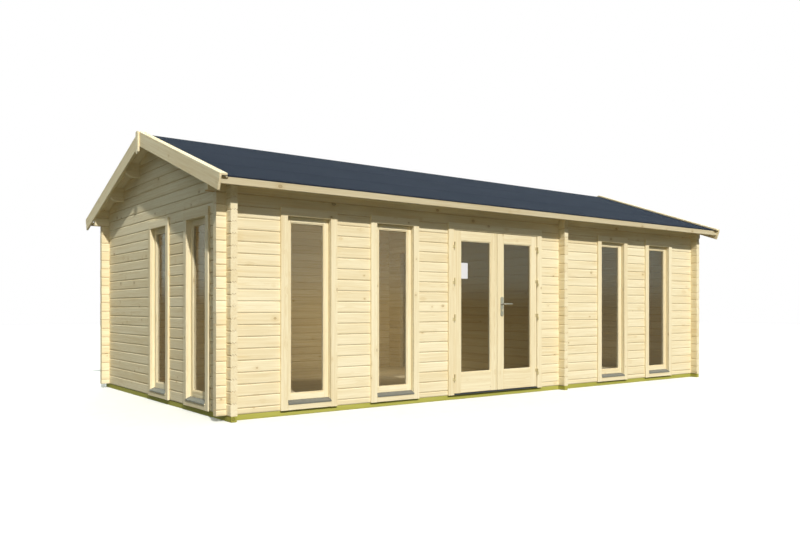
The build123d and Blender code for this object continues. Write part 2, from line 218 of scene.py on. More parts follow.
# Timber looks. Stretches run along the grain, then across it. Reaches are where a fade is full and ends
KNOT_STRETCH = (0.7, 1.0, 1.0)
KNOT_SCALE = 7.5
KNOT_SMALLEST, KNOT_SPREAD = 0.7, 1.6
CORE_REACH = (0.085, 0.115)
RIM_REACH = (0.10, 0.06)
HALO_REACH = (0.08, 0.36)
CORE_STRENGTH = 0.42
RIM_STRENGTH = 0.45
RIM_SHADE = 0.55
# Painted shade on the faces inside log joints, as a share of the knot colour
JOINT_PAINTED_SHADE = 1.5
WANDER_SCALE = 2.6
WANDER = (0.0, 0.02, 0.03)
KNOT_PUSH = (0.0, 0.014, 0.014)
RING_STRETCH = (0.12, 1.0, 1.0)
RINGS = {"Scale": 58.0, "Distortion": 3.0, "Detail": 2.0, "Detail Scale": 0.04}
LATE_WOOD_POWER = 2.2
STREAK_STRETCH = (1.3, 60.0, 60.0)
STREAK_ROUGHNESS = 0.62
FIBRE_STRETCH = (9.0, 420.0, 420.0)
CLOUD_STRETCH = (0.7, 5.0, 5.0)
SHADE_RANGE = (0.12, 0.95)
FIBRE_ROUGHNESS = 0.15
TIMBER_BUMP = (0.25, 0.0015)
TIMBER_GLOSS = 0.06


def shaded(colour, share):
    """A colour made darker or paler by a share."""
    return tuple(share * part for part in colour)


def timber_material(name, pale, deep, knot, knot_share, rough):
    """Planed softwood: year rings round the heart, streaks, knots that the grain bends round, a tone each.

    Faces inside a joint between logs get painted shade: a dark colour that stands in for the shade in the
    gap.
    """
    graph = Graph(bpy.data.materials.new(name))
    grain = graph.add("Attribute", attribute_name="grain").outputs["Vector"]
    tone = graph.add("Attribute", attribute_name="tone").outputs["Fac"]
    joint = graph.add("Attribute", attribute_name="joint").outputs["Fac"]

    knot_space = graph.stretch(grain, KNOT_STRETCH)
    cells = graph.add("TexVoronoi", {"Vector": knot_space, "Scale": KNOT_SCALE, "Randomness": 1.0})
    draw = graph.add("SeparateColor", {0: cells.outputs["Color"]})
    chosen = graph.math("LESS_THAN", draw.outputs[0], knot_share)
    smallness = graph.math("ADD", KNOT_SMALLEST, graph.math("MULTIPLY", draw.outputs[1], KNOT_SPREAD))
    reach = graph.math("MULTIPLY", cells.outputs["Distance"], smallness)
    core = graph.math("MULTIPLY", graph.fade(reach, *CORE_REACH), chosen)
    rim = graph.math("MULTIPLY", graph.fade(reach, *RIM_REACH), core)
    halo = graph.math("MULTIPLY", graph.fade(reach, *HALO_REACH), chosen)

    wander = graph.add("TexNoise", {"Vector": grain, "Scale": WANDER_SCALE, "Detail": 2.0}).outputs["Color"]
    away = graph.vector("NORMALIZE", graph.vector("SUBTRACT", knot_space, cells.outputs["Position"]))
    push = graph.vector("MULTIPLY", away, graph.add("CombineXYZ", {0: 0.0, 1: halo, 2: halo}).outputs[0])
    bent = graph.vector("ADD", grain, graph.vector("MULTIPLY", wander, WANDER))
    bent = graph.vector("SUBTRACT", bent, graph.vector("MULTIPLY", push, KNOT_PUSH))
    ring_inputs = {"Vector": graph.stretch(bent, RING_STRETCH), **RINGS}
    rings = graph.add("TexWave", ring_inputs, wave_type="RINGS", rings_direction="X").outputs["Fac"]
    late_wood = graph.math("POWER", rings, LATE_WOOD_POWER)
    streaks = graph.noise(graph.stretch(bent, STREAK_STRETCH), 1.0, 6.0, STREAK_ROUGHNESS)
    fibres = graph.noise(graph.stretch(bent, FIBRE_STRETCH), 1.0, 3.0)
    clouds = graph.noise(graph.stretch(grain, CLOUD_STRETCH), 1.0, 2.0)

    # Each part of the shade, with its middle and its weight
    shade = graph.weigh(
        (streaks, 0.27, 1.5),
        (late_wood, 0.0, 0.22),
        (clouds, 0.44, 0.75),
        (tone, 0.5, 0.28),
        (halo, 0.0, 0.30),
    )
    colour = graph.ramp(shade, (SHADE_RANGE[0], pale), (SHADE_RANGE[1], deep))
    colour = graph.mix(graph.math("MULTIPLY", core, CORE_STRENGTH), colour, knot)
    colour = graph.mix(graph.math("MULTIPLY", rim, RIM_STRENGTH), colour, shaded(knot, RIM_SHADE))
    # Painted shade on the faces inside log joints
    colour = graph.mix(joint, colour, shaded(knot, JOINT_PAINTED_SHADE))
    height = graph.weigh((fibres, 0.0, 0.5), (streaks, 0.0, 0.3), (late_wood, 0.0, 0.2))
    roughness = graph.math("ADD", rough, graph.math("MULTIPLY", fibres, FIBRE_ROUGHNESS))
    graph.set(Base_Color=colour, Roughness=roughness)
    graph.set(Normal=graph.bump(height, *TIMBER_BUMP), Specular_IOR_Level=TIMBER_GLOSS)
    return graph.owner


# Looks of the other surfaces. Bumps are a strength and a height
FELT_DARK, FELT_PALE = (0.0147, 0.0190, 0.0310), (0.0267, 0.0335, 0.0520)
GRANULE_SCALE, PATCH_SCALE, FLECK_SCALE = 900.0, 1.3, 60.0
FELT_RANGE = (0.25, 0.75)
FELT_ROUGHNESS = 0.95
FELT_GLOSS = 0.012
FELT_BUMP = (0.5, 0.0012)
BRUSH_STRETCH = (40.0, 40.0, 900.0)
BRUSH_BUMP = (0.12, 0.0004)
SMUDGE_SCALE = 18.0
SMUDGE_SHADE = 0.8
SMUDGE_ROUGHNESS = 0.15
GLASS_ROUGHNESS = 0.02
WAVE_SCALE = 3.0
WAVE_BUMP = (0.02, 0.002)
MOTTLE_SCALE = 7.0
MOTTLE_SHADE = 0.97
PATCHY_RANGE = (0.3, 0.7)


def felt_material():
    """Mineral felt: slate granules with faint patches."""
    graph = Graph(bpy.data.materials.new("roof_felt"))
    place = graph.object_coordinates()
    granules = graph.noise(place, GRANULE_SCALE, 2.0)
    patches = graph.noise(place, PATCH_SCALE, 4.0)
    flecks = graph.noise(place, FLECK_SCALE, 3.0)
    shade = graph.weigh((granules, 0.0, 0.5), (patches, 0.0, 0.35), (flecks, 0.0, 0.15))
    graph.set(Base_Color=graph.ramp(shade, (FELT_RANGE[0], FELT_DARK), (FELT_RANGE[1], FELT_PALE)))
    graph.set(Roughness=FELT_ROUGHNESS, Specular_IOR_Level=FELT_GLOSS)
    graph.set(Normal=graph.bump(granules, *FELT_BUMP))
    return graph.owner


def patchy_colour(graph, patches, colour, share):
    """A colour that turns to a darker share of itself in patches."""
    low, high = PATCHY_RANGE
    return graph.ramp(patches, (low, shaded(colour, share)), (high, colour))


def metal_material(name, base, metallic, rough):
    """Coated or bare metal with fine brushing and smudges."""
    graph = Graph(bpy.data.materials.new(name))
    place = graph.object_coordinates()
    brush = graph.noise(graph.stretch(place, BRUSH_STRETCH), 1.0, 3.0)
    smudge = graph.noise(place, SMUDGE_SCALE, 3.0)
    graph.set(Base_Color=patchy_colour(graph, smudge, base, SMUDGE_SHADE), Metallic=metallic)
    graph.set(Roughness=graph.math("ADD", rough, graph.math("MULTIPLY", smudge, SMUDGE_ROUGHNESS)))
    graph.set(Normal=graph.bump(brush, *BRUSH_BUMP))
    return graph.owner


def glass_material(name, tint, alpha, index, gloss):
    """Pane with faint waves, whose tint holds painted reflection."""
    graph = Graph(bpy.data.materials.new(name))
    waves = graph.noise(graph.object_coordinates(), WAVE_SCALE, 2.0)
    graph.set(Base_Color=(*tint, 1.0), Alpha=alpha, Roughness=GLASS_ROUGHNESS)
    graph.set(IOR=index, Specular_IOR_Level=gloss, Normal=graph.bump(waves, *WAVE_BUMP))
    return graph.owner


def plain_material(name, colour, rough):
    """Matt surface with a faint mottle."""
    graph = Graph(bpy.data.materials.new(name))
    mottle = graph.noise(graph.object_coordinates(), MOTTLE_SCALE, 4.0)
    graph.set(Base_Color=patchy_colour(graph, mottle, colour, MOTTLE_SHADE), Roughness=rough)
    return graph.owner


SPRUCE = timber_material("spruce", (0.93, 0.84, 0.60), (0.77, 0.63, 0.37), (0.42, 0.27, 0.11), 0.52, 0.55)
# Painted shade: the fascias take a darker copy of the spruce, the same wood drawn darker for the duller
# light they catch
FASCIA_PAINTED_SHADE = timber_material(
    "fascia_spruce_painted_shade", (0.65, 0.58, 0.41), (0.54, 0.44, 0.26), (0.30, 0.19, 0.08), 0.52, 0.55
)
TREATED = timber_material(
    "treated_beam", (0.50, 0.48, 0.11), (0.36, 0.35, 0.06), (0.16, 0.13, 0.03), 0.15, 0.65
)
FELT = felt_material()
FLASHING = metal_material("grey_flashing", (0.165, 0.163, 0.145), 0.0, 0.45)
THRESHOLD = metal_material("dark_threshold", (0.045, 0.045, 0.05), 0.6, 0.4)
STEEL = metal_material("door_steel", (0.30, 0.265, 0.225), 1.0, 0.28)
HINGE_ZINC = metal_material("hinge_zinc", (0.60, 0.49, 0.28), 0.3, 0.45)
CARD = plain_material("blank_card", (0.72, 0.70, 0.74), 0.6)
# Pane tints are painted reflection of the surroundings; on the window panes the pale haze is partly dust as
# well
GLASS = glass_material("glass", (0.11, 0.10, 0.075), 0.17, 1.75, 0.36)
DOOR_GLASS = glass_material("door_glass", (0.04, 0.03, 0.012), 0.31, 1.5, 0.5)


def put(mesh, material, nodes=(), body="root"):
    """Object for a mesh, riding on a body and standing for the given nodes."""
    mesh.materials.append(material)
    piece = bpy.data.objects.new(mesh.name, mesh)
    bpy.context.scene.collection.objects.link(piece)
    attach(piece, body)
    if nodes:
        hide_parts(*nodes)
    return piece


def heart_shift(points):
    """Shift for a piece's grain: anywhere along a trunk, with its heart beside the middle of the piece."""
    middle = [sum(values) / len(points) for values in zip(*points)]
    turn = random.uniform(0, 2 * math.pi)
    away = random.uniform(*HEART_REACH)
    along = random.uniform(-TRUNK_REACH, TRUNK_REACH)
    return Vector((along, away * math.cos(turn) - middle[1], away * math.sin(turn) - middle[2]))


# Solids swept along their grain, joined into one mesh for each node
class Solids:
    """Collects swept solids, with a grain direction and a tone for each."""

    def __init__(self):
        self.points = []
        self.grain = []
        self.tone = []
        self.faces = []
        # Faces inside a log joint, which get painted shade
        self.joint = []

    def sweep(self, rings, grains, joints=()):
        """Closed solid through rings of points. A grain point goes with each point.

        joints holds the numbers of the ring's sides that lie inside a joint.
        """
        first = len(self.points)
        count = len(rings[0])
        shift = heart_shift(grains[0])
        tone = random.random()
        for ring, grain in zip(rings, grains):
            self.points += [tuple(point) for point in ring]
            self.grain += [(a + shift.x, b + shift.y, c + shift.z) for a, b, c in grain]
            self.tone += [tone] * count
        for number in range(len(rings) - 1):
            low = first + number * count
            for here in range(count):
                after = (here + 1) % count
                self.faces.append((low + here, low + after, low + count + after, low + count + here))
                self.joint.append(1.0 if here in joints else 0.0)
        self.faces.append(tuple(range(first + count - 1, first - 1, -1)))
        last = first + (len(rings) - 1) * count
        self.faces.append(tuple(range(last, last + count)))
        self.joint += [0.0, 0.0]

    def plank(self, low, high, axis, matrix=None, edge=BOARD_EDGE, start_skew=None, end_skew=None):
        """Straight board with eased long edges.

        Skews give the places of its ends from the other two coordinates.
        """
        side, rise = [number for number in range(3) if number != axis]
        a0, a1, b0, b1 = low[side], high[side], low[rise], high[rise]
        ease = min(edge, (a1 - a0) / 3, (b1 - b0) / 3)
        section = [
            (a0 + ease, b0), (a1 - ease, b0), (a1, b0 + ease), (a1, b1 - ease),
            (a1 - ease, b1), (a0 + ease, b1), (a0, b1 - ease), (a0, b0 + ease),
        ]
        rings = []
        grains = []
        for place, skew in ((low[axis], start_skew), (high[axis], end_skew)):
            ring = []
            grain = []
            for a, b in section:
                along = place if skew is None else skew(a, b)
                point = [0.0, 0.0, 0.0]
                point[axis], point[side], point[rise] = along, a, b
                ring.append(matrix @ Vector(point) if matrix else Vector(point))
                grain.append((along, a, b))
            rings.append(ring)
            grains.append(grain)
        self.sweep(rings, grains)

    def build(self, name, material, nodes=(), body="root", slot="spruce", smooth=False):
        """One mesh object, which stands for the given nodes."""
        mesh = bpy.data.meshes.new(name)
        mesh.from_pydata(self.points, [], self.faces)
        for layer, kind, domain, field, values in (
            ("grain", "FLOAT_VECTOR", "POINT", "vector", self.grain),
            ("tone", "FLOAT", "POINT", "value", self.tone),
            ("joint", "FLOAT", "FACE", "value", self.joint),
        ):
            data = mesh.attributes.new(layer, kind, domain).data
            data.foreach_set(field, np.array(values, np.float32).ravel())
        tidy_normals(mesh)
        mesh.polygons.foreach_set("use_smooth", [smooth] * len(mesh.polygons))
        return put(mesh, material, nodes, body)


def tidy_normals(mesh):
    """Point all faces outward."""
    work = bmesh.new()
    work.from_mesh(mesh)
    bmesh.ops.recalc_face_normals(work, faces=work.faces)
    work.to_mesh(mesh)
    work.free()


def glazing(timber, place, half_width, front, back, z0, z1):
    """Beads round a pane, on both faces of its frame."""
    middle = (front + back) / 2
    outer = (front + BEAD_SETBACK, middle - PANE_THICKNESS / 2)
    inner = (middle + PANE_THICKNESS / 2, back - BEAD_SETBACK)
    for y0, y1 in (outer, inner):
        for a, b in ((-half_width, -half_width + BEAD_WIDTH), (half_width - BEAD_WIDTH, half_width)):
            timber.plank((a, y0, z0), (b, y1, z1), 2, place)
        for low, high in ((z0, z0 + BEAD_WIDTH), (z1 - BEAD_WIDTH, z1)):
            ends = ((-half_width + BEAD_WIDTH, y0, low), (half_width - BEAD_WIDTH, y1, high))
            timber.plank(*ends, 0, place)


# Logs with tongues and grooves
LOG_SIDE_COUNT = 2 * (len(TONGUE_SHARES) + 4)
LOG_JOINT_SIDES = [
    half + number
    for half in (0, LOG_SIDE_COUNT // 2)
    for number in range(1, LOG_SIDE_COUNT // 2 - 2)
]


def log_section(z0, z1, flat_bottom, flat_top):
    """Depth and height of the points around a log, from the outer face's foot up."""
    low = z0 + LOG_GAP / 2
    high = z1 - LOG_GAP / 2
    inset, rise = LOG_CHAMFER
    thickness = FRONT_INNER - FRONT
    levels = (0, TONGUE_HEIGHT, TONGUE_HEIGHT, 0, 0, TONGUE_HEIGHT, TONGUE_HEIGHT, 0)
    top = [(0, high - rise), (inset, high)]
    top += [
        (share * thickness, high + (0 if flat_top else lift))
        for share, lift in zip(TONGUE_SHARES, levels)
    ]
    top += [(thickness - inset, high), (thickness, high - rise)]
    bottom = [(thickness, low + rise), (thickness - inset, low)]
    bottom += [
        (share * thickness, low + (0 if flat_bottom else lift))
        for share, lift in reversed(list(zip(TONGUE_SHARES, levels)))
    ]
    bottom += [(inset, low), (0, low + rise)]
    return top + bottom


def log(timber, place, start, end, z0, z1, bands, ends=None, lid=None, flat_bottom=False):
    """One log, whose bands are lengths cut down to a span of heights.

    place turns (along, depth, height) into a point. ends trims a free end, and lid the top, to the roof.
    """
    section = log_section(z0, z1, flat_bottom, lid is not None)
    stations = [(start, None)]
    for a, b, low, high in sorted(bands):
        if b > start and a < end:
            stations += [(a, None), (a, (low, high)), (b, (low, high)), (b, None)]
    stations.append((end, None))
    rings = []
    grains = []
    for number, (along, span) in enumerate(stations):
        ring = []
        grain = []
        for depth, height in section:
            if lid:
                height = min(height, lid(depth))
            if span:
                height = min(max(height, span[0]), span[1])
            here = along
            if ends and number in (0, len(stations) - 1):
                here = ends(along, height)
            ring.append(place(here, depth, height))
            grain.append((here, depth, height))
        rings.append(ring)
        grains.append(grain)
    timber.sweep(rings, grains, LOG_JOINT_SIDES)


def courses(z0, z1, seam):
    """Heights of the logs between two heights, whose joints lie whole courses above seam."""
    first = math.floor((z0 - seam) / COURSE + HAIR)
    levels = []
    while seam + first * COURSE < z1 - HAIR:
        levels.append((max(z0, seam + first * COURSE), min(z1, seam + (first + 1) * COURSE)))
        first += 1
    return levels


def crossings(places, z0, z1, seam):
    """Bands where a log is notched to half its height for the logs that cross it."""
    middle = seam + (math.floor((((z0 + z1) / 2) - seam) / COURSE) + 0.5) * COURSE
    low = max(z0, middle - COURSE / 4)
    high = min(z1, middle + COURSE / 4)
    return [(a, b, low, high) for a, b in places]


SIDE_CROSSINGS = [(FRONT, FRONT_INNER), (BACK_INNER, BACK)]
FRONT_CROSSINGS = [(LEFT, LEFT_INNER), (PART_LEFT, PART_RIGHT), (RIGHT_INNER, RIGHT)]


def jitter(value, free):
    """A log's end, a little uneven where it stands free."""
    return value + (random.uniform(-LOG_END_JITTER, LOG_END_JITTER) if free else 0.0)


def wall_along_x(node, outer, inward):
    """Logs of the front or back wall that stand for one node."""
    low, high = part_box(node)
    seam = BASE - COURSE / 2
    timber = Solids()

    def place(along, depth, height):
        return (along, outer + inward * depth, height)

    def lid(depth):
        return roof_underside(outer + inward * depth)

    for z0, z1 in courses(low.z, high.z, seam):
        spans = [(low.x, high.x)]
        if node == "front_wall_sill_logs":
            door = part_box("door_posts")
            spans = [(low.x, door[0].x), (door[1].x, high.x)]
        wide = z0 > OPEN_TOP + COURSE - NEAR
        bands = crossings(FRONT_CROSSINGS, z0, z1, seam)
        for start, end in spans:
            if node in ("front_wall_upper_logs", "back_wall") and not wide:
                start, end = LEFT - (FRONT - LOGS_FRONT), RIGHT + (FRONT - LOGS_FRONT)
            start = jitter(start, start < LEFT)
            end = jitter(end, end > RIGHT)
            log(timber, place, start, end, z0, z1, bands, None, lid if wide else None, z0 < BASE + NEAR)
    timber.build("logs_" + node, SPRUCE, [node])


def wall_along_y(node, outer, inward, cuts=()):
    """Logs of a side wall or the partition that stand for one node. Cuts are window openings."""
    low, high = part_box(node)
    timber = Solids()

    def place(along, depth, height):
        return (outer + inward * depth, along, height)

    def ends(along, height):
        reach = (RIDGE - height) / SLOPE
        return max(-reach, min(reach, along))

    top = RIDGE if high.z > RIDGE - GABLE_TOP_REACH else high.z
    for z0, z1 in courses(low.z, top, BASE):
        bands = crossings(SIDE_CROSSINGS, z0, z1, BASE)
        for a, b in cuts:
            if z0 < OPEN_BASE < z1:
                bands.append((a, b, z0, OPEN_BASE))
            if z0 < OPEN_TOP < z1:
                bands.append((a, b, OPEN_TOP, z1 + COURSE))
        start = jitter(low.y, low.y < FRONT)
        end = jitter(high.y, high.y > BACK)
        if z1 > roof_underside(BACK) - NEAR:
            bands = []
        log(timber, place, start, end, z0, z1, bands, ends, None, z0 < BASE + NEAR)
    timber.build("logs_" + node, SPRUCE, [node])


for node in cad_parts:
    if node.startswith("front_wall"):
        wall_along_x(node, FRONT, 1)
wall_along_x("back_wall", BACK, -1)
frame_points = [v.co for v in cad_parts["window_frames"].data.vertices]
left_edges = sorted({round(point.y, PLACE_DIGITS) for point in frame_points if point.x < LEFT_INNER + NEAR})
half = len(left_edges) // 2
left_cuts = [(left_edges[0], left_edges[half - 1]), (left_edges[half], left_edges[-1])]
for node in (
    "left_wall_bottom_log",
    "left_wall_front_end",
    "left_wall_between_windows",
    "left_wall_back_end",
    "left_gable",
):
    wall_along_y(node, LEFT, 1, left_cuts)
wall_along_y("right_wall", RIGHT, -1)
for node in ("partition_front", "partition_back", "partition_upper_logs"):
    wall_along_y(node, PART_LEFT, 1)


# Pieces whose shape is the node's own, with eased edges and grain along their length
def dress(node, material=SPRUCE, edge=BOARD_EDGE, body="root"):
    """Copy of a node's solids with eased edges, each with its own grain."""
    work = bmesh.new()
    work.from_mesh(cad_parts[node].data)
    bmesh.ops.remove_doubles(work, verts=work.verts, dist=WELD)
    bmesh.ops.dissolve_limit(work, angle_limit=FLAT_ANGLE, verts=work.verts, edges=work.edges)
    sharp = [e for e in work.edges if len(e.link_faces) == 2 and e.calc_face_angle() > SHARP_ANGLE]
    bmesh.ops.bevel(work, geom=sharp, offset=edge, affect="EDGES", clamp_overlap=True)
    bmesh.ops.recalc_face_normals(work, faces=work.faces)
    grain = work.verts.layers.float_vector.new("grain")
    tone = work.verts.layers.float.new("tone")
    for island in islands(work):
        longest = max((e for v in island for e in v.link_edges), key=lambda e: e.calc_length())
        along = (longest.verts[1].co - longest.verts[0].co).normalized()
        across = along.orthogonal().normalized()
        if abs(along.z) < LEVEL_SHARE:
            across = (Vector((0, 0, 1)) - along * along.z).normalized()
        third = along.cross(across)
        places = [Vector((v.co.dot(along), v.co.dot(third), v.co.dot(across))) for v in island]
        shift = heart_shift(places)
        shade = random.random()
        for v, place in zip(island, places):
            v[grain] = place + shift
            v[tone] = shade
    mesh = bpy.data.meshes.new("boards_" + node)
    work.to_mesh(mesh)
    work.free()
    return put(mesh, material, [node], body)


def islands(work):
    """Groups of joined points."""
    left = set(work.verts)
    groups = []
    while left:
        group = {left.pop()}
        edge_of_group = list(group)
        while edge_of_group:
            v = edge_of_group.pop()
            for e in v.link_edges:
                other = e.other_vert(v)
                if other in left:
                    left.discard(other)
                    group.add(other)
                    edge_of_group.append(other)
        groups.append(sorted(group, key=lambda v: v.index))
    return sorted(groups, key=lambda group: group[0].index)


for side in ("front_", "back_"):
    # Fascias in the darker spruce of painted shade
    dress(side + "fascia", FASCIA_PAINTED_SHADE)
    for name in ("bargeboards", "verge_caps"):
        dress(side + name)
    dress(side + "ground_beams", TREATED, BEAM_EDGE)
dress("apex_boards")
dress("purlins", edge=BEAM_EDGE)
dress("side_ground_beams", TREATED, BEAM_EDGE)
dress("floor_joists", TREATED, BEAM_EDGE)
for name in ("door_posts", "door_head"):
    dress(name)


# Roof boards from the ridge to the eaves, with felt in lapped sheets over them
def slope_frame(sign):
    """Turns (along the ridge, down the slope, out of the slope) into a point of the roof."""
    return Matrix((
        (1, 0, 0, 0),
        (0, sign * math.cos(ROOF_PITCH), sign * math.sin(ROOF_PITCH), 0),
        (0, -math.sin(ROOF_PITCH), math.cos(ROOF_PITCH), RIDGE),
        (0, 0, 0, 1),
    ))


def felt_sheet(felt, matrix, x0, x1, upper, lower, rise):
    """One sheet of felt. Its lower end lies on the next sheet, a rise above it."""
    rings = []
    for down, base in ((upper, DECK_THICKNESS), (lower, DECK_THICKNESS + rise)):
        ring = []
        for x, out in ((x0, base), (x1, base), (x1, base + FELT_THICKNESS), (x0, base + FELT_THICKNESS)):
            along = down if down else -out * SLOPE
            ring.append(matrix @ Vector((x, along, out)))
        rings.append(ring)
    felt.sweep(rings, rings)


for side, sign in (("front_", -1), ("back_", 1)):
    low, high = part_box(side + "roof_boards")
    reach = max(abs(low.y), abs(high.y))
    matrix = slope_frame(sign)

    def ridge_cut(x, v):
        return -v * SLOPE

    def eave_cut(x, v):
        return (reach - v * math.sin(ROOF_PITCH)) / math.cos(ROOF_PITCH)

    timber = Solids()
    count = round((high.x - low.x) / ROOF_BOARD_WIDTH)
    pitch = (high.x - low.x) / count
    for number in range(count):
        x0 = low.x + number * pitch
        ends = ((x0 + BOARD_GAP, 0, 0), (x0 + pitch - BOARD_GAP, 0, DECK_THICKNESS))
        timber.plank(*ends, 1, matrix, BOARD_EDGE, ridge_cut, eave_cut)
    timber.build("boards_" + side + "roof", SPRUCE, [side + "roof_boards"])

    low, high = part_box(side + "roof_felt")
    length = eave_cut(0, DECK_THICKNESS)
    felt = Solids()
    for number in range(FELT_SHEET_COUNT):
        upper = length * number / FELT_SHEET_COUNT
        lower = length * (number + 1) / FELT_SHEET_COUNT
        last = number == FELT_SHEET_COUNT - 1
        overlap, rise = (0, 0) if last else (FELT_OVERLAP, FELT_THICKNESS)
        felt_sheet(felt, matrix, low.x, high.x, upper, lower + overlap, rise)
    felt_sheet(felt, matrix, low.x, high.x, 0, RIDGE_STRIP, FELT_THICKNESS)
    felt.build("felt_" + side + "slope", FELT, [side + "roof_felt"], slot="roof_felt")

# Floor boards in both rooms and the doorway between
floor_low, floor_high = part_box("floor_boards")
timber = Solids()
doorway = (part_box("partition_front")[1].y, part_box("partition_back")[0].y)
rooms = [
    (floor_low.x, PART_LEFT, floor_low.y, floor_high.y),
    (PART_RIGHT, floor_high.x, floor_low.y, floor_high.y),
    (PART_LEFT, PART_RIGHT, *doorway),
]
for x0, x1, y0, y1 in rooms:
    count = round((y1 - y0) / FLOOR_BOARD_WIDTH)
    pitch = (y1 - y0) / count
    for number in range(count):
        near = y0 + number * pitch
        timber.plank((x0, near + BOARD_GAP, floor_low.z), (x1, near + pitch - BOARD_GAP, floor_high.z), 0)
timber.build("boards_floor", SPRUCE, ["floor_boards"])


# Windows, drawn about the middle of the wall's outer face
def places_of(node):
    """Middle points of a node's separate solids, and whether each runs along x."""
    work = bmesh.new()
    work.from_mesh(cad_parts[node].data)
    bmesh.ops.remove_doubles(work, verts=work.verts, dist=WELD)
    middles = []
    for island in islands(work):
        xs, ys = [v.co.x for v in island], [v.co.y for v in island]
        along_x = max(xs) - min(xs) > max(ys) - min(ys)
        middles.append(((min(xs) + max(xs)) / 2, (min(ys) + max(ys)) / 2, along_x))
    work.free()
    return sorted(middles)


WINDOW_PLACES = [
    Matrix.Translation((x, FRONT, 0)) if along_x
    else Matrix.Translation((LEFT, y, 0)) @ Matrix.Rotation(-math.pi / 2, 4, "Z")
    for x, y, along_x in places_of("window_glass")
]
CASING_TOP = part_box("window_casings")[1].z
SASH_BASE, SASH_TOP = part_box("window_sashes")[0].z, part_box("window_sashes")[1].z
PANE_BASE, PANE_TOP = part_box("window_glass")[0].z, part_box("window_glass")[1].z
LOG_DEPTH = FRONT_INNER - FRONT

casings, frames, sash_boards = Solids(), Solids(), Solids()
for place in WINDOW_PLACES:
    for a, b in ((-HALF_CASING, -HALF_GAP), (HALF_GAP, HALF_CASING)):
        casings.plank((a, -CASING_DEPTH, BASE), (b, 0, SASH_TOP), 2, place)
    casings.plank((-HALF_CASING, -CASING_DEPTH, SASH_TOP), (HALF_CASING, 0, CASING_TOP), 0, place)
    casings.plank((-HALF_GAP, -CASING_DEPTH, BASE), (HALF_GAP, 0, OPEN_BASE), 0, place)
    for a, b in ((-HALF_OPENING, -HALF_GAP), (HALF_GAP, HALF_OPENING)):
        frames.plank((a, 0, OPEN_BASE), (b, LOG_DEPTH, OPEN_TOP), 2, place)
    frames.plank((-HALF_GAP, 0, SASH_TOP), (HALF_GAP, LOG_DEPTH, OPEN_TOP), 0, place)
    frames.plank((-HALF_GAP, SASH_RECESS, OPEN_BASE), (HALF_GAP, LOG_DEPTH, SASH_BASE), 0, place)
    nose = [
        (SASH_RECESS, OPEN_BASE),
        (SASH_RECESS, SASH_BASE - SILL_GAP),
        (-SILL_REACH, SILL_NOSE_TOP),
        (-SILL_REACH, OPEN_BASE),
    ]
    rings = [[place @ Vector((x, y, z)) for y, z in nose] for x in (-HALF_GAP, HALF_GAP)]
    frames.sweep(rings, [[(x, y, z) for y, z in nose] for x in (-HALF_GAP, HALF_GAP)])
    edge = HALF_GAP - SASH_GAP
    low, high = SASH_BASE + SASH_GAP / 2, SASH_TOP - SASH_GAP
    for a, b in ((-edge, -HALF_PANE), (HALF_PANE, edge)):
        sash_boards.plank((a, SASH_RECESS, low), (b, LOG_DEPTH, high), 2, place)
    for z0, z1 in ((low, PANE_BASE), (PANE_TOP, high)):
        sash_boards.plank((-HALF_PANE, SASH_RECESS, z0), (HALF_PANE, LOG_DEPTH, z1), 0, place)
    glazing(sash_boards, place, HALF_PANE, SASH_RECESS, LOG_DEPTH, PANE_BASE, PANE_TOP)
casings.build("boards_window_casings", SPRUCE, ["window_casings"])
frames.build("boards_window_frames", SPRUCE, ["window_frames"])
sash_boards.build("boards_window_sashes", SPRUCE, ["window_sashes"])

# Double door
low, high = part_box("door_casing")
timber = Solids()
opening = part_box("door_threshold")
for a, b in ((low.x, opening[0].x), (opening[1].x, high.x)):
    timber.plank((a, low.y, BASE), (b, high.y, SASH_TOP), 2)
timber.plank((low.x, low.y, SASH_TOP), (high.x, high.y, high.z), 0)
timber.build("boards_door_casing", SPRUCE, ["door_casing"])
for side in ("left_door", "right_door"):
    low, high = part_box(side + "_leaf")
    pane_low, pane_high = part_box(side + "_glass")
    timber = Solids()
    for a, b in ((low.x, pane_low.x), (pane_high.x, high.x)):
        timber.plank((a, low.y, low.z), (b, high.y, high.z), 2)
    for z0, z1 in ((low.z, pane_low.z), (pane_high.z, high.z)):
        timber.plank((pane_low.x, low.y, z0), (pane_high.x, high.y, z1), 0)
    middle = Matrix.Translation(((pane_low.x + pane_high.x) / 2, 0, 0))
    glazing(timber, middle, (pane_high.x - pane_low.x) / 2, low.y, high.y, pane_low.z, pane_high.z)
    timber.build("boards_" + side + "_leaf", SPRUCE, [side + "_leaf"], side)

# Blank card on the left leaf's pane, beside its outer stile
pane_low, pane_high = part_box("left_door_glass")
card = Solids()
card_base = BASE + CARD_HEIGHT
card.plank(
    (pane_low.x + BEAD_WIDTH, pane_low.y - CARD_THICKNESS, card_base),
    (pane_low.x + BEAD_WIDTH + CARD_SIZE[0], pane_low.y, card_base + CARD_SIZE[1]),
    2,
    edge=CARD_THICKNESS / 3,
)
card.build("blank_card", CARD, body="left_door")


# Lock furniture: plates with eased edges, bent levers, lock cylinders and screws, with a dark slot of
# painted shade for each keyhole
def tube(solids, points, size_y, size_z, end_shares=(1.0,)):
    """Oval bar along a level path, drawn in to a rounded end by the shares of its last rings."""
    shares = [1.0] * (len(points) - len(end_shares)) + list(end_shares)
    rings = []
    for number, (point, share) in enumerate(zip(points, shares)):
        ahead = points[min(number + 1, len(points) - 1)] - points[max(number - 1, 0)]
        side = ahead.cross(Vector((0, 0, 1))).normalized()
        ring = []
        for step in range(TUBE_SIDE_COUNT):
            turn = 2 * math.pi * step / TUBE_SIDE_COUNT
            across = side * (share * size_y * math.cos(turn))
            up = Vector((0, 0, share * size_z * math.sin(turn)))
            ring.append(point + across + up)
        rings.append(ring)
    solids.sweep(rings, rings)


